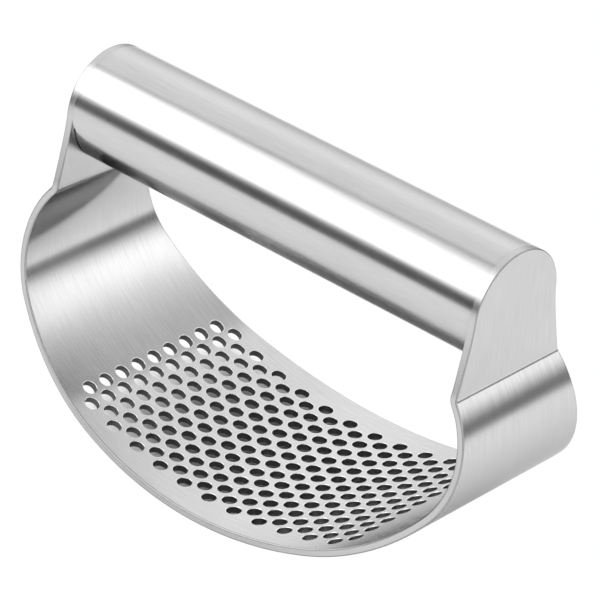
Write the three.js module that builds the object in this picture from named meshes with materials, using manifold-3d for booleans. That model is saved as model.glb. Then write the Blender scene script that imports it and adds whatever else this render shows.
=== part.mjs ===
import * as THREE from 'three';
import { mergeGeometries, mergeVertices } from 'three/addons/utils/BufferGeometryUtils.js';
import Module from 'manifold-3d';

// Rocking garlic press. X runs along the handle, Y across the plate and Z is up.
// The origin is under the middle of the plate, at its lowest point. All lengths are in mm.

// Sheet and its bends, as radii and heading angles of the inner surface, from the middle outwards.
const PLATE_THICKNESS = 1.4;
const BOTTOM_RADIUS = 78.5;
const BOTTOM_END_DEG = 18.3;
const HAUNCH_RADIUS = 44.2;
const HAUNCH_END_DEG = 50.5;
const ROLL_RADIUS = 15.3;
const ROLL_END_DEG = 129.2;
const CREASE_RADIUS = 2.6;
const TAB_DEG = 90;

// Half width of the flat blank as a polynomial of the distance from the middle.
const HALF_WIDTH_MIDDLE = 24.0;
const WIDTH_TERM_2 = -2.497e-3;
const WIDTH_TERM_4 = -1.234e-7;
const WIDTH_TERM_6 = 3.67e-11;
const TAB_NARROWING_EXPONENT = 1.25;

// Holes, in staggered rows across the plate.
const HOLE_PITCH = 4.0;
const HOLE_RADIUS = 1.3;
const HOLE_SIDES = 8;
const ROW_STEP = 2.88;
const ROWS_EACH_SIDE = 11;
const HOLES_IN_MIDDLE_ROW = 10;
const HOLES_IN_NEXT_ROW = 9;

// Handle tube between the two tabs, and the seam that joins each end to its tab.
const TUBE_RADIUS = 10.2;
const TUBE_WALL = 1.2;
const TUBE_AXIS_ABOVE_CREASE = 12.34;
const TUBE_SIDES = 48;
const SEAM_LENGTH = 0.5;
const SEAM_WALL = 1.5;

// How finely each stretch of the plate is divided.
const HAUNCH_STEPS = 4;
const ROLL_STEPS = 12;
const CREASE_STEPS = 4;
const TAB_STEPS = 5;
const TOP_STEP_DEG = 12;
const TOP_LAST_DEG = 84;

const wasm = await Module();
wasm.setup();

function radians(degrees) {
  return degrees * Math.PI / 180;
}

// The stretches of the inner surface from the middle of the plate to the start of the tab.
function plateStretches() {
  return [
    { radius: BOTTOM_RADIUS, from: 0, to: radians(BOTTOM_END_DEG) },
    { radius: HAUNCH_RADIUS, from: radians(BOTTOM_END_DEG), to: radians(HAUNCH_END_DEG) },
    { radius: ROLL_RADIUS, from: radians(HAUNCH_END_DEG), to: radians(ROLL_END_DEG) },
    { radius: -CREASE_RADIUS, from: radians(ROLL_END_DEG), to: radians(TAB_DEG) },
  ];
}

function stretchLength(stretch) {
  return stretch.radius * (stretch.to - stretch.from);
}

const STRETCHES = plateStretches();
const CREASE_DISTANCE = STRETCHES.reduce((sum, stretch) => sum + stretchLength(stretch), 0);
const AXIS_DISTANCE = CREASE_DISTANCE + TUBE_AXIS_ABOVE_CREASE;

// Position and heading of the inner surface at a distance from the middle, on the +X side.
function surfaceAt(distance) {
  let x = 0;
  let z = PLATE_THICKNESS;
  let left = distance;
  for (const stretch of STRETCHES) {
    const used = Math.min(left, stretchLength(stretch));
    const heading = stretch.from + used / stretch.radius;
    x += stretch.radius * (Math.sin(heading) - Math.sin(stretch.from));
    z += stretch.radius * (Math.cos(stretch.from) - Math.cos(heading));
    left -= used;
    if (left <= 1e-9) {
      return { x, z, heading };
    }
  }
  return { x, z: z + left, heading: radians(TAB_DEG) };
}

function bodyHalfWidth(distance) {
  const square = distance * distance;
  const bow = WIDTH_TERM_2 * square + WIDTH_TERM_4 * square ** 2 + WIDTH_TERM_6 * square ** 3;
  return HALF_WIDTH_MIDDLE + bow;
}

// The tab narrows from the crease to the tube, then follows the tube's round top.
function halfWidth(distance) {
  if (distance <= CREASE_DISTANCE) {
    return bodyHalfWidth(distance);
  }
  const above = distance - AXIS_DISTANCE;
  if (above >= 0) {
    return Math.sqrt(Math.max(TUBE_RADIUS ** 2 - above ** 2, 0));
  }
  const share = -above / TUBE_AXIS_ABOVE_CREASE;
  const extra = bodyHalfWidth(CREASE_DISTANCE) - TUBE_RADIUS;
  return TUBE_RADIUS + extra * share ** TAB_NARROWING_EXPONENT;
}

function spread(from, to, steps) {
  const values = [];
  for (let i = 1; i <= steps; i += 1) {
    values.push(from + (to - from) * i / steps);
  }
  return values;
}

// Distances from the middle where the plate has an edge. Rows of holes lie between them.
function stationDistances() {
  const distances = [];
  for (let row = 0; row <= ROWS_EACH_SIDE; row += 1) {
    distances.push((row + 0.5) * ROW_STEP);
  }
  const haunchEnd = stretchLength(STRETCHES[0]) + stretchLength(STRETCHES[1]);
  const rollEnd = haunchEnd + stretchLength(STRETCHES[2]);
  distances.push(...spread(distances[distances.length - 1], haunchEnd, HAUNCH_STEPS));
  distances.push(...spread(haunchEnd, rollEnd, ROLL_STEPS));
  distances.push(...spread(rollEnd, CREASE_DISTANCE, CREASE_STEPS));
  distances.push(...spread(CREASE_DISTANCE, AXIS_DISTANCE, TAB_STEPS));
  for (let angle = TOP_STEP_DEG; angle <= TOP_LAST_DEG; angle += TOP_STEP_DEG) {
    distances.push(AXIS_DISTANCE + TUBE_RADIUS * Math.sin(radians(angle)));
  }
  return distances;
}

// A point of the sheet: signed distance from the middle, place across, and depth from the inside.
function sheetPoint(distance, across, depth) {
  const side = distance < 0 ? -1 : 1;
  const at = surfaceAt(Math.abs(distance));
  const x = at.x + depth * Math.sin(at.heading);
  const z = at.z - depth * Math.cos(at.heading);
  return new THREE.Vector3(side * x, across, z);
}

function toManifold(geometry) {
  const plain = geometry.clone();
  plain.deleteAttribute('normal');
  plain.deleteAttribute('uv');
  const merged = mergeVertices(plain, 1e-5);
  const mesh = new wasm.Mesh({
    numProp: 3,
    vertProperties: new Float32Array(merged.attributes.position.array),
    triVerts: new Uint32Array(merged.index.array),
  });
  return new wasm.Manifold(mesh);
}

function toGeometry(manifold) {
  const mesh = manifold.getMesh();
  const geometry = new THREE.BufferGeometry();
  geometry.setAttribute('position', new THREE.BufferAttribute(new Float32Array(mesh.vertProperties), 3));
  geometry.setIndex(new THREE.BufferAttribute(new Uint32Array(mesh.triVerts), 1));
  geometry.computeVertexNormals();
  return geometry;
}

// The bent and tapered sheet without holes: a strip extruded straight, then bent to its stations.
function bentSheet() {
  const right = stationDistances();
  const stations = [...right.map((distance) => -distance).reverse(), ...right];
  const section = new THREE.Shape();
  section.moveTo(0, -1);
  section.lineTo(1, -1);
  section.lineTo(1, 1);
  section.lineTo(0, 1);
  const steps = stations.length - 1;
  const strip = new THREE.ExtrudeGeometry(section, { steps, depth: steps, bevelEnabled: false });
  const position = strip.attributes.position;
  for (let i = 0; i < position.count; i += 1) {
    const distance = stations[Math.round(position.getZ(i))];
    const across = position.getY(i) * halfWidth(Math.abs(distance));
    const point = sheetPoint(distance, across, position.getX(i) * PLATE_THICKNESS);
    position.setXYZ(i, point.x, point.y, point.z);
  }
  return strip;
}

function holeCutter(distance, across) {
  const length = PLATE_THICKNESS * 3;
  const cutter = new THREE.CylinderGeometry(HOLE_RADIUS, HOLE_RADIUS, length, HOLE_SIDES);
  const inside = sheetPoint(distance, across, 0);
  const outside = sheetPoint(distance, across, PLATE_THICKNESS);
  const along = outside.clone().sub(inside).normalize();
  const turn = new THREE.Quaternion().setFromUnitVectors(new THREE.Vector3(0, 1, 0), along);
  const centre = inside.clone().add(outside).multiplyScalar(0.5);
  cutter.applyQuaternion(turn);
  cutter.translate(centre.x, centre.y, centre.z);
  return cutter;
}

function holeCutters() {
  const cutters = [];
  for (let row = -ROWS_EACH_SIDE; row <= ROWS_EACH_SIDE; row += 1) {
    const count = row % 2 === 0 ? HOLES_IN_MIDDLE_ROW : HOLES_IN_NEXT_ROW;
    for (let i = 0; i < count; i += 1) {
      const across = (i - (count - 1) / 2) * HOLE_PITCH;
      cutters.push(holeCutter(row * ROW_STEP, across));
    }
  }
  return mergeGeometries(cutters);
}

function rockerPlate() {
  const sheet = toManifold(bentSheet());
  return toGeometry(sheet.subtract(toManifold(holeCutters())));
}

function ring(outerRadius, innerRadius, fromX, length) {
  const outline = new THREE.Shape();
  outline.absarc(0, 0, outerRadius, 0, Math.PI * 2, false);
  const bore = new THREE.Path();
  bore.absarc(0, 0, innerRadius, 0, Math.PI * 2, true);
  outline.holes.push(bore);
  const options = { depth: length, bevelEnabled: false, curveSegments: TUBE_SIDES / 2 };
  const geometry = new THREE.ExtrudeGeometry(outline, options);
  geometry.rotateY(Math.PI / 2);
  geometry.translate(fromX, 0, surfaceAt(AXIS_DISTANCE).z);
  return toGeometry(toManifold(geometry));
}

const TAB_INNER_X = surfaceAt(CREASE_DISTANCE).x;

function handleTube() {
  const halfLength = TAB_INNER_X - SEAM_LENGTH;
  return ring(TUBE_RADIUS, TUBE_RADIUS - TUBE_WALL, -halfLength, 2 * halfLength);
}

function weldSeam(side) {
  const fromX = side > 0 ? TAB_INNER_X - SEAM_LENGTH : -TAB_INNER_X;
  return ring(TUBE_RADIUS, TUBE_RADIUS - SEAM_WALL, fromX, SEAM_LENGTH);
}

function piece(name, geometry, color, roughness) {
  const material = new THREE.MeshStandardMaterial({ color, roughness, metalness: 1 });
  const mesh = new THREE.Mesh(geometry, material);
  mesh.name = name;
  return mesh;
}

const press = new THREE.Group();
press.name = 'garlic_press';
press.add(piece('rocker_plate', rockerPlate(), 0xc9cacb, 0.32));
press.add(piece('handle_tube', handleTube(), 0xcfd0d1, 0.3));
press.add(piece('left_weld', weldSeam(-1), 0x8f9092, 0.5));
press.add(piece('right_weld', weldSeam(1), 0x8f9092, 0.5));

export default press;
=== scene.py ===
import math

import bpy
from mathutils import Matrix, Vector


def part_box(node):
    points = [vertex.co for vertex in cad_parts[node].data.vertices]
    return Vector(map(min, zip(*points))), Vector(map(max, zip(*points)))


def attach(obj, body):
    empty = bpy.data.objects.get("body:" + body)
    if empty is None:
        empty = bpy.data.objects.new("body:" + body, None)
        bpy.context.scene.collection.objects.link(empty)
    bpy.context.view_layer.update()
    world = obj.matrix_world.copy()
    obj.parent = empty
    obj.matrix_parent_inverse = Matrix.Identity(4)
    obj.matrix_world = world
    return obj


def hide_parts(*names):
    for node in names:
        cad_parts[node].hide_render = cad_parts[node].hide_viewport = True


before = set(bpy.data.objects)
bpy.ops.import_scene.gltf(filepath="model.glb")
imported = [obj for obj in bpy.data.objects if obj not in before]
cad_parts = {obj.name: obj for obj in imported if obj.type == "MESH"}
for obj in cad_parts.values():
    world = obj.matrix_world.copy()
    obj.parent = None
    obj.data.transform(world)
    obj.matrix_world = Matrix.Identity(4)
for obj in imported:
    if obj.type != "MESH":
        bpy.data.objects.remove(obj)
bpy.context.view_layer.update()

MM = 0.001
TINY = 1e-6

# Sheet of the rocker plate: radii and heading angles of its inner surface, in mm and degrees.
THICKNESS = 1.4
STRETCHES = ((78.5, 0.0, 18.3), (44.2, 18.3, 50.5), (15.3, 50.5, 129.2), (-2.6, 129.2, 90.0))
STRETCH_STEPS = (0, 12, 26, 10)
TAB_RISE = 12.34
TAB_STEPS = 14
TAB_NARROWING = 1.25
WIDTH_TERMS = (24.0, -2.497e-3, -1.234e-7, 3.67e-11)

# Holes in staggered rows. One cell of the sheet surrounds each hole.
HOLE_PITCH = 4.0
HOLE_RADIUS = 1.3
HOLE_RIM = 0.13
HOLE_RIM_STEPS = 3
HOLE_RIM_SUPPORT = 0.05
ROW_STEP = 2.88
ROWS_EACH_SIDE = 11
HOLES_BY_PARITY = (10, 9)
CELL_COLUMNS = 8
CELL_ROWS = 6
MARGIN_STEPS = (0.0, 0.4, 0.75, 0.93, 1.0)

# Rounded edges of the sheet.
EDGE_ROUND = 0.25
INNER_ROUND_AT_TUBE = 0.004
OUTER_ROUND_AT_TUBE = 0.2
EDGE_SEGMENTS = 5
# A support loop this far from the rounding keeps the shading beside it flat.
EDGE_SUPPORT = 0.05
# The rounding changes from this far beyond the crease to this far short of the tube's axis.
ROUND_CHANGE_START = 1.0
ROUND_CHANGE_END = 2.0
SLOPE_STEP = 0.01
CAP_ROWS = 24

# Material slots of the plate's mesh.
SHEET_SLOT = 0
HOLE_WALL_SLOT = 1
EDGE_SLOT = 2

# Edges of the meshes sharper than this stay sharp, in degrees.
PLATE_SHARP = 35
RING_SHARP = 40

# Handle tube and its weld seams.
TUBE_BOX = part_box("handle_tube")
SEAM_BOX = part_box("right_weld")
TUBE_RADIUS = (TUBE_BOX[1][2] - TUBE_BOX[0][2]) / 2 / MM
TUBE_AXIS_Z = (TUBE_BOX[1][2] + TUBE_BOX[0][2]) / 2 / MM
TUBE_HALF_LENGTH = TUBE_BOX[1][0] / MM
TAB_INNER_X = SEAM_BOX[1][0] / MM
TUBE_WALL = 1.2
TUBE_SEGMENTS = 256
TUBE_STATIONS = 16
TUBE_SETBACK = 0.2
# The groove starts this share of the radius below the axis, on the left and on the right.
GROOVE_START = {-1: 0.15, 1: 0.6}
GROOVE_RUN_OUT = 0.05
GROOVE_DEPTH = 0.8
GROOVE_LEAST_DEPTH = 0.003
GROOVE_WIDTH = 0.3
# Seam faces whose middle lies between these depths below the tube's surface get a near-black colour, a
# painted shade.
GROOVE_DARK_FROM = GROOVE_DEPTH / 4
GROOVE_DARK_TO = TUBE_WALL - 0.1


def radians_of(stretch):
    radius, start, end = stretch
    return radius, math.radians(start), math.radians(end)


def stretch_length(stretch):
    radius, start, end = radians_of(stretch)
    return radius * (end - start)


CREASE_DISTANCE = sum(stretch_length(stretch) for stretch in STRETCHES)
AXIS_DISTANCE = CREASE_DISTANCE + TAB_RISE
ZONE_END = (ROWS_EACH_SIDE + 0.5) * ROW_STEP
ZONE_STEPS = (2 * ROWS_EACH_SIDE + 1) * CELL_ROWS
FIELD_EDGE = HOLES_BY_PARITY[0] * HOLE_PITCH / 2


def surface_at(distance):
    """Place and heading of the inner surface at a distance from the middle, on the +X side."""
    x, z, left = 0.0, THICKNESS, distance
    for stretch in STRETCHES:
        radius, start, end = radians_of(stretch)
        used = min(left, stretch_length(stretch))
        heading = start + used / radius
        x += radius * (math.sin(heading) - math.sin(start))
        z += radius * (math.cos(start) - math.cos(heading))
        left -= used
        if left <= TINY:
            return x, z, heading
    return x, z + left, math.pi / 2


def bent(distance, across, depth):
    """A point of the flat sheet, in mm, moved to its place on the bent sheet, in metres."""
    side = -1.0 if distance < 0 else 1.0
    x, z, heading = surface_at(abs(distance))
    x += depth * math.sin(heading)
    z -= depth * math.cos(heading)
    return Vector((side * x, across, z)) * MM


def body_half_width(distance):
    square = distance * distance
    return sum(term * square ** power for power, term in enumerate(WIDTH_TERMS))


def half_width(distance):
    """Half width of the sheet up to the height of the tube's axis."""
    if distance <= CREASE_DISTANCE:
        return body_half_width(distance)
    share = max(AXIS_DISTANCE - distance, 0.0) / TAB_RISE
    extra = body_half_width(CREASE_DISTANCE) - TUBE_RADIUS
    return TUBE_RADIUS + extra * share ** TAB_NARROWING


def smooth_step(value):
    value = min(max(value, 0.0), 1.0)
    return value * value * (3 - 2 * value)


def edge_round(distance, outer):
    """Radius of the rounded edge. Round the tube, the inner edge is ground nearly flush."""
    run = TAB_RISE - (ROUND_CHANGE_START + ROUND_CHANGE_END)
    share = smooth_step((distance - CREASE_DISTANCE - ROUND_CHANGE_START) / run)
    at_tube = OUTER_ROUND_AT_TUBE if outer else INNER_ROUND_AT_TUBE
    return EDGE_ROUND + (at_tube - EDGE_ROUND) * share


class SheetMesh:
    """Collects faces of the flat sheet as (distance, across, depth, rim) corners; plate_mesh bends them.
    """

    def __init__(self):
        self.index = {}
        self.corners = []
        self.faces = []
        self.slots = []
        self.slot = SHEET_SLOT

    def corner(self, distance, across, depth, rim=0.0):
        key = (round(distance, 4), round(across, 4), round(depth, 4))
        if key not in self.index:
            self.index[key] = len(self.corners)
            self.corners.append((distance, across, depth, rim))
        return self.index[key]

    def face(self, corners, flip):
        loop = [self.corner(*corner) for corner in corners]
        loop = [item for place, item in enumerate(loop) if item != loop[place - 1]]
        if len(loop) >= 3:
            self.faces.append(loop[::-1] if flip else loop)
            self.slots.append(self.slot)

    def grid(self, lines, flip):
        """Faces between neighbouring lines of corners."""
        for low, high in zip(lines, lines[1:]):
            for i in range(len(low) - 1):
                self.face((low[i], low[i + 1], high[i + 1], high[i]), flip)

    def loops(self, loops, flip):
        """Faces between neighbouring closed loops of corners."""
        self.grid([loop + loop[:1] for loop in loops], flip)


def cell_outline(distance, across):
    """The rectangle round one hole, divided so that staggered rows share their corners."""
    half_row = ROW_STEP / 2
    half_pitch = HOLE_PITCH / 2
    points = []
    for i in range(CELL_COLUMNS):
        points.append((-half_row, -half_pitch + HOLE_PITCH * i / CELL_COLUMNS))
    for i in range(CELL_ROWS):
        points.append((-half_row + ROW_STEP * i / CELL_ROWS, half_pitch))
    for i in range(CELL_COLUMNS):
        points.append((half_row, half_pitch - HOLE_PITCH * i / CELL_COLUMNS))
    for i in range(CELL_ROWS):
        points.append((half_row - ROW_STEP * i / CELL_ROWS, -half_pitch))
    return [(distance + ds, across + dy) for ds, dy in points]


def hole_loop(distance, across, outline, radius, depth, rim):
    loop = []
    for s, y in outline:
        angle = math.atan2(y - across, s - distance)
        loop.append((distance + radius * math.cos(angle), across + radius * math.sin(angle), depth, rim))
    return loop


def hole_rim_profile():
    """The rounded rim as (radius, depth), from the sheet's surface down to the wall of the hole."""
    profile = []
    for i in range(HOLE_RIM_STEPS + 1):
        angle = math.pi / 2 * i / HOLE_RIM_STEPS
        radius = HOLE_RADIUS + HOLE_RIM * (1 - math.sin(angle))
        profile.append((radius, HOLE_RIM * (1 - math.cos(angle))))
    return profile


def add_hole_cell(sheet, distance, across):
    outline = cell_outline(distance, across)
    support = HOLE_RADIUS + HOLE_RIM + HOLE_RIM_SUPPORT
    rim = hole_rim_profile()
    loops = [[(s, y, 0.0, 0.0) for s, y in outline]]
    loops.append(hole_loop(distance, across, outline, support, 0.0, 0.0))
    # The rounded hole rims on both faces carry rim 1, which brightens their colour as a painted
    # highlight.
    for radius, depth in rim:
        loops.append(hole_loop(distance, across, outline, radius, depth, 1.0))
    sheet.loops(loops, flip=True)
    wall = [loops[-1]]
    for radius, depth in reversed(rim):
        wall.append(hole_loop(distance, across, outline, radius, THICKNESS - depth, 1.0))
    # The hole's wall takes the near-black material, a painted shade in the hole.
    sheet.slot = HOLE_WALL_SLOT
    sheet.loops(wall[:2], flip=True)
    sheet.slot = SHEET_SLOT
    below = wall[1:]
    below.append(hole_loop(distance, across, outline, support, THICKNESS, 0.0))
    below.append([(s, y, THICKNESS, 0.0) for s, y in outline])
    sheet.loops(below, flip=True)


def add_row_filler(sheet, row, side, depth):
    """The half cell at the end of a short row."""
    lines = []
    for k in range(CELL_ROWS + 1):
        s = (row - 0.5 + k / CELL_ROWS) * ROW_STEP
        line = []
        for i in range(CELL_COLUMNS // 2 + 1):
            line.append((s, side * (FIELD_EDGE - HOLE_PITCH * i / CELL_COLUMNS), depth))
        lines.append(line)
    sheet.grid(lines, flip=(side < 0) == (depth == 0.0))


def add_hole_rows(sheet):
    for row in range(-ROWS_EACH_SIDE, ROWS_EACH_SIDE + 1):
        count = HOLES_BY_PARITY[row % 2]
        for i in range(count):
            add_hole_cell(sheet, row * ROW_STEP, (i - (count - 1) / 2) * HOLE_PITCH)
        if count == HOLES_BY_PARITY[0]:
            continue
        for side in (-1, 1):
            for depth in (0.0, THICKNESS):
                add_row_filler(sheet, row, side, depth)


def shrunk_width(distance, depth):
    return half_width(abs(distance)) - edge_round(abs(distance), depth > 0)


def zone_columns(depth):
    """Places across the sheet at the end of the hole rows, margins included."""
    width = shrunk_width(ZONE_END, depth)
    steps = HOLES_BY_PARITY[0] * CELL_COLUMNS
    inner = [-FIELD_EDGE + 2 * FIELD_EDGE * i / steps for i in range(steps + 1)]
    margin = [FIELD_EDGE + (width - FIELD_EDGE) * step for step in MARGIN_STEPS[1:]]
    return [-y for y in reversed(margin)] + inner + margin


def add_margins(sheet):
    """The plain strips between the hole rows and the two long edges."""
    for side in (-1, 1):
        for depth in (0.0, THICKNESS):
            lines = []
            for k in range(ZONE_STEPS + 1):
                s = -ZONE_END + 2 * ZONE_END * k / ZONE_STEPS
                margin = shrunk_width(s, depth) - FIELD_EDGE
                lines.append([(s, side * (FIELD_EDGE + margin * step), depth) for step in MARGIN_STEPS])
            sheet.grid(lines, flip=(side > 0) == (depth == 0.0))


def outer_stations():
    """Distances from the end of the hole rows up to the height of the tube's axis."""
    stations = [ZONE_END]
    reached = 0.0
    for stretch, steps in zip(STRETCHES, STRETCH_STEPS):
        start = max(reached, ZONE_END)
        reached += stretch_length(stretch)
        stations.extend(start + (reached - start) * (i + 1) / steps for i in range(steps))
    stations.extend(CREASE_DISTANCE + TAB_RISE * (i + 1) / TAB_STEPS for i in range(TAB_STEPS))
    return stations


def cap_line(columns, v, side, depth):
    """A line of the tab's half round top. A square grid of u and v is mapped to the disc."""
    radius = TUBE_RADIUS - edge_round(AXIS_DISTANCE, depth > 0)
    line = []
    for y in columns:
        u = y / columns[-1]
        rise = radius * v * math.sqrt(1 - u * u / 2)
        line.append((side * (AXIS_DISTANCE + rise), radius * u * math.sqrt(1 - v * v / 2), depth))
    return line


def add_ends(sheet):
    """Both ends of the sheet, from the hole rows to the tops of the tabs."""
    stations = outer_stations()
    for side in (-1, 1):
        for depth in (0.0, THICKNESS):
            columns = zone_columns(depth)
            lines = []
            for s in stations:
                scale = shrunk_width(s, depth) / shrunk_width(ZONE_END, depth)
                lines.append([(side * s, y * scale, depth) for y in columns])
            for k in range(1, CAP_ROWS + 1):
                lines.append(cap_line(columns, k / CAP_ROWS, side, depth))
            sheet.grid(lines, flip=(side > 0) == (depth == 0.0))


def side_outline():
    """Places and outward directions along the long edge, up to the height of the tube's axis."""
    from_middle = range(ZONE_STEPS // 2, ZONE_STEPS + 1)
    stations = [-ZONE_END + 2 * ZONE_END * k / ZONE_STEPS for k in from_middle]
    stations.extend(outer_stations()[1:])
    outline = []
    for s in stations:
        slope = (half_width(s + SLOPE_STEP) - half_width(abs(s - SLOPE_STEP))) / (2 * SLOPE_STEP)
        if s >= AXIS_DISTANCE - TINY:
            slope = 0.0
        length = math.hypot(1.0, slope)
        outline.append((s, half_width(s), -slope / length, 1 / length))
    return outline


def cap_angles():
    """Angles round the tab's top at which the lines of its grid end."""
    angles = []
    for k in range(1, CAP_ROWS + 1):
        v = k / CAP_ROWS
        angles.append(math.atan2(v * math.sqrt(0.5), math.sqrt(1 - v * v / 2)))
    columns = zone_columns(0.0)
    for y in reversed([y for y in columns if -TINY < y < columns[-1] - TINY]):
        u = y / columns[-1]
        angles.append(math.atan2(math.sqrt(1 - u * u / 2), u * math.sqrt(0.5)))
    return angles


def outline_points():
    """The quarter of the sheet's outline from the middle of the +Y edge to the top of the +X tab."""
    outline = side_outline()
    for angle in cap_angles():
        ds, y = math.sin(angle), math.cos(angle)
        outline.append((AXIS_DISTANCE + TUBE_RADIUS * ds, TUBE_RADIUS * y, ds, y))
    return outline


def full_outline():
    """The whole outline as one closed loop of places and outward directions."""
    quarter = outline_points()
    halves = []
    for side in (1, -1):
        half = [(side * s, y, side * ns, ny) for s, y, ns, ny in quarter]
        halves.append(half if side > 0 else half[::-1])
    upper = halves[1][:-1] + halves[0]
    lower = [(s, -y, ns, -ny) for s, y, ns, ny in upper]
    return upper + lower[::-1][1:-1]


def edge_ring(loop, outer, angle, support):
    """One ring of the rounded edge, at an angle round its corner."""
    ring = []
    for s, y, ns, ny in loop:
        size = edge_round(min(abs(s), AXIS_DISTANCE), outer)
        inset = size * (1 - math.sin(angle))
        depth = size * (1 - math.cos(angle)) + support
        if angle == 0.0:
            point = flat_edge_point(s, y, ns, ny, size)
        else:
            point = (s - ns * inset, y - ny * inset)
        # The edge's rounding carries rim -1, which darkens its colour as a painted shade. Support rings
        # carry 0.
        ring.append((*point, THICKNESS - depth if outer else depth, 0.0 if support else -1.0))
    return ring


def add_edge_band(sheet):
    """The rounded edge that joins the inner surface to the outer one, all the way round."""
    loop = full_outline()
    rings = []
    for outer in (False, True):
        profile = range(EDGE_SEGMENTS + 2)
        for i in (reversed(profile) if outer else profile):
            angle = math.pi / 2 * min(i / EDGE_SEGMENTS, 1)
            support = EDGE_SUPPORT if i > EDGE_SEGMENTS else 0.0
            rings.append(edge_ring(loop, outer, angle, support))
    sheet.slot = EDGE_SLOT
    sheet.loops(rings, flip=False)
    sheet.slot = SHEET_SLOT


def flat_edge_point(s, y, ns, ny, size):
    """Where the rounded edge meets the flat grid, which is inset straight across the sheet."""
    if abs(s) <= AXIS_DISTANCE + TINY:
        return s, y - math.copysign(size, y)
    return s - ns * size, y - ny * size


def plate_mesh():
    sheet = SheetMesh()
    add_hole_rows(sheet)
    add_margins(sheet)
    add_ends(sheet)
    add_edge_band(sheet)
    mesh = bpy.data.meshes.new("rocker_plate_fine")
    points = [bent(s, y, depth) for s, y, depth, _ in sheet.corners]
    mesh.from_pydata(points, [], sheet.faces)
    mesh.polygons.foreach_set("material_index", sheet.slots)
    brush = mesh.uv_layers.new(name="brush")
    # The rim attribute drives the painted highlight on hole rims and the painted shade on the sheet's
    # rounded edges.
    rim = mesh.attributes.new("rim", "FLOAT", "POINT")
    for i, corner in enumerate(sheet.corners):
        rim.data[i].value = corner[3]
    for loop in mesh.loops:
        s, y, depth, _ = sheet.corners[loop.vertex_index]
        brush.data[loop.index].uv = (s * MM, (y + depth) * MM)
    finish_mesh(mesh, PLATE_SHARP)
    return mesh


def finish_mesh(mesh, sharp_degrees):
    mesh.validate()
    mesh.polygons.foreach_set("use_smooth", [True] * len(mesh.polygons))
    mesh.set_sharp_from_angle(angle=math.radians(sharp_degrees))
    mesh.update()


def ring_mesh(name, section, segments):
    """A closed ring about the handle's axis. section(angle) gives (x, radius) corners in mm."""
    mesh = bpy.data.meshes.new(name)
    points, rings, faces = [], [], []
    for k in range(segments):
        angle = 2 * math.pi * k / segments
        for x, radius in section(angle):
            y, z = radius * math.sin(angle), TUBE_AXIS_Z + radius * math.cos(angle)
            points.append(Vector((x, y, z)) * MM)
    count = len(section(0.0))
    for k in range(segments):
        for i in range(count):
            a, b = k * count + i, k * count + (i + 1) % count
            next_ring = (k + 1) % segments * count
            corners = (a, b, next_ring + (i + 1) % count, next_ring + i)
            faces.append(corners)
            rings.append((k, corners))
    mesh.from_pydata(points, [], faces)
    brush = mesh.uv_layers.new(name="brush")
    turn = 2 * math.pi * TUBE_RADIUS * MM / segments
    for (k, corners), polygon in zip(rings, mesh.polygons):
        for loop_index, corner in zip(polygon.loop_indices, corners):
            column = k if corner // count == k else k + 1
            brush.data[loop_index].uv = (mesh.vertices[corner].co.x, column * turn)
    finish_mesh(mesh, RING_SHARP)
    return mesh


def tube_section(_angle):
    outer, inner, end = TUBE_RADIUS, TUBE_RADIUS - TUBE_WALL, TUBE_HALF_LENGTH - TUBE_SETBACK
    stations = [-end + 2 * end * i / TUBE_STATIONS for i in range(TUBE_STATIONS + 1)]
    return [(x, outer) for x in stations] + [(x, inner) for x in reversed(stations)]


def seam_section(side):
    """The weld is ground flush over the top of the tube, with an open groove at the tube's end below."""
    def section(angle):
        below = smooth_step((-math.cos(angle) - GROOVE_START[side]) / GROOVE_RUN_OUT)
        outer, inner = TUBE_RADIUS, TUBE_RADIUS - TUBE_WALL
        floor = outer - GROOVE_LEAST_DEPTH - (GROOVE_DEPTH - GROOVE_LEAST_DEPTH) * below
        tube_end = side * (TUBE_HALF_LENGTH - TUBE_SETBACK)
        bead, tab = tube_end + side * GROOVE_WIDTH, side * TAB_INNER_X
        corners = [(tube_end, floor), (bead, floor), (bead, outer)]
        corners += [(tab, outer), (tab, inner), (tube_end, inner)]
        return corners if side > 0 else corners[::-1]
    return section


class Nodes:
    """Short calls for building a node tree."""

    def __init__(self, tree):
        self.tree = tree

    def add(self, kind, **settings):
        node = self.tree.nodes.new(kind)
        for name, value in settings.items():
            setattr(node, name, value)
        return node

    def join(self, source, target):
        self.tree.links.new(source, target)

    def math(self, operation, first, second):
        node = self.add("ShaderNodeMath", operation=operation)
        for socket, value in zip(node.inputs, (first, second)):
            if isinstance(value, (int, float)):
                socket.default_value = value
            else:
                self.join(value, socket)
        return node.outputs[0]

    def blend(self, share, first, second):
        node = self.add("ShaderNodeMix", data_type="RGBA")
        self.join(share, node.inputs[0])
        for socket, value in ((node.inputs[6], first), (node.inputs[7], second)):
            if isinstance(value, tuple):
                socket.default_value = value
            else:
                self.join(value, socket)
        return node.outputs[2]

    def noise(self, vector, scale, detail, rough):
        mapping = self.add("ShaderNodeMapping")
        mapping.inputs["Scale"].default_value = scale
        self.join(vector, mapping.inputs["Vector"])
        noise = self.add("ShaderNodeTexNoise")
        noise.inputs["Scale"].default_value = 1.0
        noise.inputs["Detail"].default_value = detail
        noise.inputs["Roughness"].default_value = rough
        self.join(mapping.outputs[0], noise.inputs["Vector"])
        return noise.outputs["Fac"]

    def remap(self, value, low, high, from_low=0.3, from_high=0.7):
        """Scale a value to low..high. A noise's values lie mostly in the default range."""
        node = self.add("ShaderNodeMapRange")
        node.inputs["From Min"].default_value = from_low
        node.inputs["From Max"].default_value = from_high
        node.inputs["To Min"].default_value = low
        node.inputs["To Max"].default_value = high
        self.join(value, node.inputs["Value"])
        return node.outputs["Result"]


# Hole rims are brighter by this share, a painted highlight, and the rounded edges of the sheet are
# darker by it, a painted shade.
RIM_CHANGE = 0.35

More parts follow.
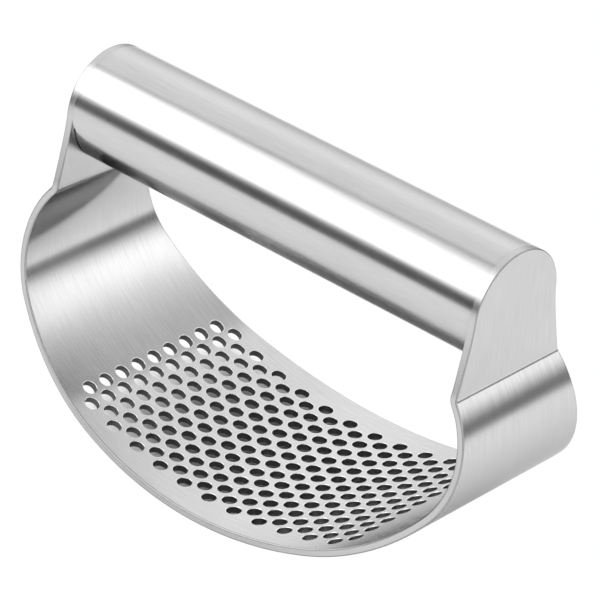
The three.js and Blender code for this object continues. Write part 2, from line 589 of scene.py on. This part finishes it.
# Noises as (scale per metre, detail, roughness). The scales of hair and streak run along the brush
# lines and across them, and the third isn't used.
HAIR_NOISE = ((160.0, 7000.0, 1.0), 3.0, 0.6)
STREAK_NOISE = ((150.0, 2600.0, 1.0), 2.0, 0.6)
SMUDGE_NOISE = ((45.0, 45.0, 45.0), 2.0, 0.5)
CLOUD_NOISE = ((70.0, 70.0, 70.0), 3.0, 0.6)
# Hair and streak add up to the brush lines. Streak and cloud add up to the tone, from dark to light.
HAIR_SHARE = 0.6
STREAK_SHARE = 0.4
SMUDGE_ROUGHNESS = (-0.02, 0.03)
STREAK_TONE = 0.6
STREAK_TONE_RANGE = (0.38, 0.62)
CLOUD_TONE = 0.4
QUARTER_TURN = 0.25


def steel_colour(tree, base, marks, streak, cloud):
    """The base colour: streaks and faint clouds, with a painted highlight on hole rims and a painted
    shade on sheet edges.
    """
    streak_tone = tree.remap(streak, 0.0, STREAK_TONE, *STREAK_TONE_RANGE)
    tone = tree.math("ADD", streak_tone, tree.remap(cloud, 0.0, CLOUD_TONE))
    dark, light = base * (1 - marks), base * (1 + marks)
    tint = tree.blend(tone, (dark, dark, dark, 1), (light, light, light, 1))
    rim = tree.add("ShaderNodeAttribute", attribute_type="GEOMETRY", attribute_name="rim")
    # Rim 1 brightens the colour as a painted highlight, and rim -1 darkens it as a painted shade.
    painted_rim_light_and_shade = tree.add("ShaderNodeVectorMath", operation="SCALE")
    tree.join(tint, painted_rim_light_and_shade.inputs[0])
    change = tree.remap(rim.outputs["Fac"], 1 - RIM_CHANGE, 1 + RIM_CHANGE, -1.0, 1.0)
    tree.join(change, painted_rim_light_and_shade.inputs["Scale"])
    return painted_rim_light_and_shade.outputs[0]


def brushed_steel(name, base, roughness, anisotropy, hair_depth, grazing=0.62, marks=0.05):
    """Brushed stainless steel. The brush lines run along the U of the mesh's brush map.

    base is the mean grey, and grazing is the grey that tints reflections seen edge-on. marks is the
    largest change of the base colour by streak and cloud, as a share. The brush lines change the
    roughness by up to a quarter of it.
    """
    material = bpy.data.materials.new(name)
    material.use_nodes = True
    tree = Nodes(material.node_tree)
    shader = tree.tree.nodes["Principled BSDF"]
    place = tree.add("ShaderNodeUVMap", uv_map="brush").outputs["UV"]
    body = tree.add("ShaderNodeTexCoord").outputs["Object"]
    hair = tree.noise(place, *HAIR_NOISE)
    streak = tree.noise(place, *STREAK_NOISE)
    smudge = tree.noise(body, *SMUDGE_NOISE)
    cloud = tree.noise(body, *CLOUD_NOISE)
    hair_part = tree.math("MULTIPLY", hair, HAIR_SHARE)
    lines = tree.math("ADD", hair_part, tree.math("MULTIPLY", streak, STREAK_SHARE))
    line_roughness = tree.remap(lines, roughness - marks / 4, roughness + marks / 4)
    rough = tree.math("ADD", line_roughness, tree.remap(smudge, *SMUDGE_ROUGHNESS))
    tree.join(rough, shader.inputs["Roughness"])
    tree.join(steel_colour(tree, base, marks, streak, cloud), shader.inputs["Base Color"])
    bump = tree.add("ShaderNodeBump")
    bump.inputs["Strength"].default_value = 1.0
    bump.inputs["Distance"].default_value = hair_depth
    tree.join(lines, bump.inputs["Height"])
    tree.join(bump.outputs["Normal"], shader.inputs["Normal"])
    tangent = tree.add("ShaderNodeTangent", direction_type="UV_MAP", uv_map="brush")
    tree.join(tangent.outputs[0], shader.inputs["Tangent"])
    shader.inputs["Metallic"].default_value = 1.0
    shader.inputs["Anisotropic"].default_value = anisotropy
    shader.inputs["Anisotropic Rotation"].default_value = QUARTER_TURN
    shader.inputs["Specular Tint"].default_value = (grazing, grazing, grazing, 1)
    return material


def add_piece(name, mesh, node, material):
    piece = bpy.data.objects.new(name, mesh)
    bpy.context.scene.collection.objects.link(piece)
    mesh.materials.append(material)
    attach(piece, "root")
    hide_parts(node)
    return piece


def add_seam(side, node, weld_steel, groove_shade_steel):
    """A weld seam. The faces in its groove get the near-black material, a painted shade in the groove.
    """
    mesh = ring_mesh(node + "_fine", seam_section(side), TUBE_SEGMENTS)
    seam = add_piece(node + "_seam", mesh, node, weld_steel)
    seam.data.materials.append(groove_shade_steel)
    for face in mesh.polygons:
        depth = TUBE_RADIUS - math.hypot(face.center.y / MM, face.center.z / MM - TUBE_AXIS_Z)
        face.material_index = int(GROOVE_DARK_FROM < depth < GROOVE_DARK_TO)


def build_press():
    plate_steel = brushed_steel("plate_steel_brushed", base=0.405, roughness=0.22, anisotropy=0.93,
                                hair_depth=3e-6, grazing=0.7, marks=0.06)
    edge_steel = brushed_steel("edge_steel_ground", base=0.375, roughness=0.26, anisotropy=0.0,
                               hair_depth=2e-6, grazing=0.4, marks=0.02)
    tube_steel = brushed_steel("tube_steel_brushed", base=0.385, roughness=0.17, anisotropy=0.3,
                               hair_depth=3e-6, grazing=0.55, marks=0.04)
    # Hole walls and the seam's groove get a near-black base colour, a painted shade in these recesses.
    recess_shade_steel = brushed_steel("hole_wall_painted_shade", base=0.065, roughness=0.4, anisotropy=0.0,
                               hair_depth=6e-6)
    weld_steel = brushed_steel("weld_steel_ground", base=0.375, roughness=0.18, anisotropy=0.0,
                               hair_depth=2e-6)
    plate = add_piece("plate_perforated", plate_mesh(), "rocker_plate", plate_steel)
    plate.data.materials.append(recess_shade_steel)
    plate.data.materials.append(edge_steel)
    tube = ring_mesh("handle_tube_fine", tube_section, TUBE_SEGMENTS)
    add_piece("tube_brushed", tube, "handle_tube", tube_steel)
    add_seam(-1, "left_weld", weld_steel, recess_shade_steel)
    add_seam(1, "right_weld", weld_steel, recess_shade_steel)


# Camera: where it stands, in metres, and the direction it looks, in degrees.
CAMERA_PLACE = (0.40348, -0.48687, 0.39949)
CAMERA_AZIMUTH = 39.585
CAMERA_ELEVATION = 30.072
CAMERA_ROLL = 5.41
CAMERA_LENS = 260.87


def add_camera():
    azimuth = math.radians(CAMERA_AZIMUTH)
    elevation = math.radians(CAMERA_ELEVATION)
    roll = math.radians(CAMERA_ROLL)
    level = Vector((math.cos(azimuth), math.sin(azimuth), 0))
    back = Vector((math.sin(azimuth) * math.cos(elevation),
                   -math.cos(azimuth) * math.cos(elevation),
                   math.sin(elevation)))
    upright = back.cross(level)
    right = level * math.cos(roll) + upright * math.sin(roll)
    up = back.cross(right)
    camera = bpy.data.objects.new("camera", bpy.data.cameras.new("camera"))
    bpy.context.scene.collection.objects.link(camera)
    turn = Matrix((right, up, back)).transposed()
    camera.matrix_world = Matrix.Translation(CAMERA_PLACE) @ turn.to_4x4()
    camera.data.sensor_width = 36.0
    camera.data.lens = CAMERA_LENS
    camera.data.clip_start = 0.01
    camera.data.clip_end = 20.0
    bpy.context.scene.camera = camera


# Seen directly, the floor is overexposed to white. It keeps its lit shade in a patch beneath the plate,
# whose middle line curves as the plate rises to both sides. Seen directly, the patch's grey is also
# darkened towards its middle, a painted shadow.
FLOOR_HALF_SIZE = 0.42
FLOOR_WHITE = 1.02
FLOOR_GREY = (0.93, 0.93, 0.93, 1)
# The darkest grey of the painted shadow in the middle of the patch.
PAINTED_SHADOW_GREY = (0.25, 0.25, 0.25, 1)
PATCH_HALF_LENGTH = 0.034
PATCH_HALF_WIDTH = 0.022
PATCH_MIDDLE = (-0.0085, 0.002)
PATCH_CURVE = 8.25
# The patch turns white between these shares of its half length or width from its middle.
PATCH_FADE = (0.95, 1.0)
PATCH_LEFT_FADE = (-1.0, -0.76)
# Inside the patch, the painted shadow lightens to the floor's grey between these shares.
PAINTED_SHADOW_FADE = (0.45, 1.0)
FLOOR_SINK = 0.0005


def patch_shares(tree):
    """How far a point is from the patch's middle, as shares of its half length and half width."""
    place = tree.add("ShaderNodeSeparateXYZ")
    tree.join(tree.add("ShaderNodeTexCoord").outputs["Object"], place.inputs[0])
    along = tree.math("SUBTRACT", place.outputs["X"], PATCH_MIDDLE[0])
    curve = tree.math("MULTIPLY", tree.math("MULTIPLY", along, along), PATCH_CURVE)
    across = tree.math("SUBTRACT", tree.math("SUBTRACT", place.outputs["Y"], curve), PATCH_MIDDLE[1])
    width_share = tree.math("DIVIDE", tree.math("ABSOLUTE", across, 0.0), PATCH_HALF_WIDTH)
    return tree.math("DIVIDE", along, PATCH_HALF_LENGTH), width_share


def floor_material():
    material = bpy.data.materials.new("floor_white")
    material.use_nodes = True
    tree = Nodes(material.node_tree)
    shader = tree.tree.nodes["Principled BSDF"]
    shader.inputs["Roughness"].default_value = 0.9
    shader.inputs["Specular IOR Level"].default_value = 0.0
    length_share, width_share = patch_shares(tree)
    beside = tree.remap(tree.math("MAXIMUM", length_share, width_share), 0.0, 1.0, *PATCH_FADE)
    left_end = tree.remap(length_share, 1.0, 0.0, *PATCH_LEFT_FADE)
    open_floor = tree.math("MAXIMUM", beside, left_end)
    seen = tree.add("ShaderNodeLightPath").outputs["Is Camera Ray"]
    from_middle = tree.math("MAXIMUM", tree.math("ABSOLUTE", length_share, 0.0), width_share)
    lightness = tree.remap(from_middle, 0.0, 1.0, *PAINTED_SHADOW_FADE)
    # Seen directly, the patch's base colour darkens towards its middle: a painted shadow.
    painted_shadow = tree.blend(lightness, PAINTED_SHADOW_GREY, FLOOR_GREY)
    tree.join(tree.blend(seen, FLOOR_GREY, painted_shadow), shader.inputs["Base Color"])
    white = tree.add("ShaderNodeEmission")
    white.inputs["Color"].default_value = (1, 1, 1, 1)
    white.inputs["Strength"].default_value = FLOOR_WHITE
    mix = tree.add("ShaderNodeMixShader")
    tree.join(tree.math("MULTIPLY", open_floor, seen), mix.inputs[0])
    tree.join(shader.outputs[0], mix.inputs[1])
    tree.join(white.outputs[0], mix.inputs[2])
    tree.join(mix.outputs[0], tree.tree.nodes["Material Output"].inputs["Surface"])
    return material


def add_floor():
    mesh = bpy.data.meshes.new("floor")
    size = FLOOR_HALF_SIZE
    corners = [(-size, -size, 0), (size, -size, 0), (size, size, 0), (-size, size, 0)]
    mesh.from_pydata(corners, [], [(0, 1, 2, 3)])
    floor = bpy.data.objects.new("floor", mesh)
    floor.location.z = -FLOOR_SINK
    bpy.context.scene.collection.objects.link(floor)
    mesh.materials.append(floor_material())


# The studio's brightness by height of the direction, as (elevation in degrees, brightness).
# Two facing sides hold a softbox above a dark gap, and the other two sides are plain.
FRONT_BOX = ((-90, 1.2), (-13, 1.2), (-7, 0.3), (-4, 0.10), (7, 0.08), (11, 0.35), (16, 1.8),
             (21, 3.4), (46, 3.4), (51, 2.0), (57, 1.2), (90, 1.25))
BACK_BOX = ((-90, 1.2), (-16, 1.1), (-9, 0.6), (-2, 0.28), (6, 0.2), (11, 0.8), (17, 1.55),
            (25, 2.0), (32, 2.3), (37, 2.1), (40, 1.15), (43, 0.62), (48, 0.62), (56, 1.1),
            (90, 1.25))
PLAIN_SIDES = ((-90, 1.2), (-20, 1.2), (-5, 1.2), (6, 1.35), (20, 1.58), (34, 1.58), (44, 1.35),
               (60, 1.2), (90, 1.25))
# The back box is centred on this heading, and the front box is opposite.
BOX_HEADING = (math.sqrt(0.5), math.sqrt(0.5), 0.0)
# The boxes fade into the plain sides between these cosines of the turn from their middle.
BOX_FADE = (0.66, 0.86)
# A thin dark frame stands at this cosine, with this half width and share of the brightness.
FRAME_AT = 0.8
FRAME_HALF_WIDTH = 0.08
FRAME_BRIGHTNESS = 0.3
RAMP_SCALE = 4.0
STUDIO_GAIN = 1.25
LEAST_LEVEL = 0.001


def height_ramp(tree, height, bands):
    """Brightness by height, divided by RAMP_SCALE. The background's strength scales it back up."""
    ramp = tree.add("ShaderNodeValToRGB")
    elements = ramp.color_ramp.elements
    for _ in bands[2:]:
        elements.new(0.5)
    for element, (elevation, brightness) in zip(elements, bands):
        element.position = (math.sin(math.radians(elevation)) + 1) / 2
        grey = brightness / RAMP_SCALE
        element.color = (grey, grey, grey, 1)
    tree.join(height, ramp.inputs[0])
    return ramp.outputs[0]


def add_world():
    world = bpy.data.worlds.new("studio")
    bpy.context.scene.world = world
    world.use_nodes = True
    tree = Nodes(world.node_tree)
    background = world.node_tree.nodes["Background"]
    direction = tree.add("ShaderNodeTexCoord").outputs["Generated"]
    split = tree.add("ShaderNodeSeparateXYZ")
    tree.join(direction, split.inputs[0])
    height = tree.math("ADD", tree.math("MULTIPLY", split.outputs["Z"], 0.5), 0.5)
    facing = tree.add("ShaderNodeVectorMath", operation="DOT_PRODUCT")
    facing.inputs[1].default_value = BOX_HEADING
    tree.join(direction, facing.inputs[0])
    rise_squared = tree.math("POWER", split.outputs["Z"], 2.0)
    level = tree.math("SQRT", tree.math("SUBTRACT", 1.0, rise_squared), 0.0)
    turn = tree.math("DIVIDE", facing.outputs["Value"], tree.math("MAXIMUM", level, LEAST_LEVEL))
    sideways = tree.math("ABSOLUTE", turn, 0.0)
    front = height_ramp(tree, height, FRONT_BOX)
    back = height_ramp(tree, height, BACK_BOX)
    plain = height_ramp(tree, height, PLAIN_SIDES)
    boxes = tree.blend(tree.math("GREATER_THAN", turn, 0.0), front, back)
    side = tree.remap(sideways, 0.0, 1.0, *BOX_FADE)
    frame_distance = tree.math("ABSOLUTE", tree.math("SUBTRACT", sideways, FRAME_AT), 0.0)
    frame_shade = tree.remap(frame_distance, FRAME_BRIGHTNESS, 1.0, 0.0, FRAME_HALF_WIDTH)
    studio = tree.blend(frame_shade, (0, 0, 0, 1), tree.blend(side, plain, boxes))
    seen = tree.add("ShaderNodeLightPath").outputs["Is Camera Ray"]
    backdrop = FLOOR_WHITE / RAMP_SCALE / STUDIO_GAIN
    shown = tree.blend(seen, studio, (backdrop, backdrop, backdrop, 1))
    tree.join(shown, background.inputs["Color"])
    background.inputs["Strength"].default_value = RAMP_SCALE * STUDIO_GAIN


build_press()
add_camera()
add_floor()
add_world()
bpy.context.scene.view_settings.view_transform = "Standard"
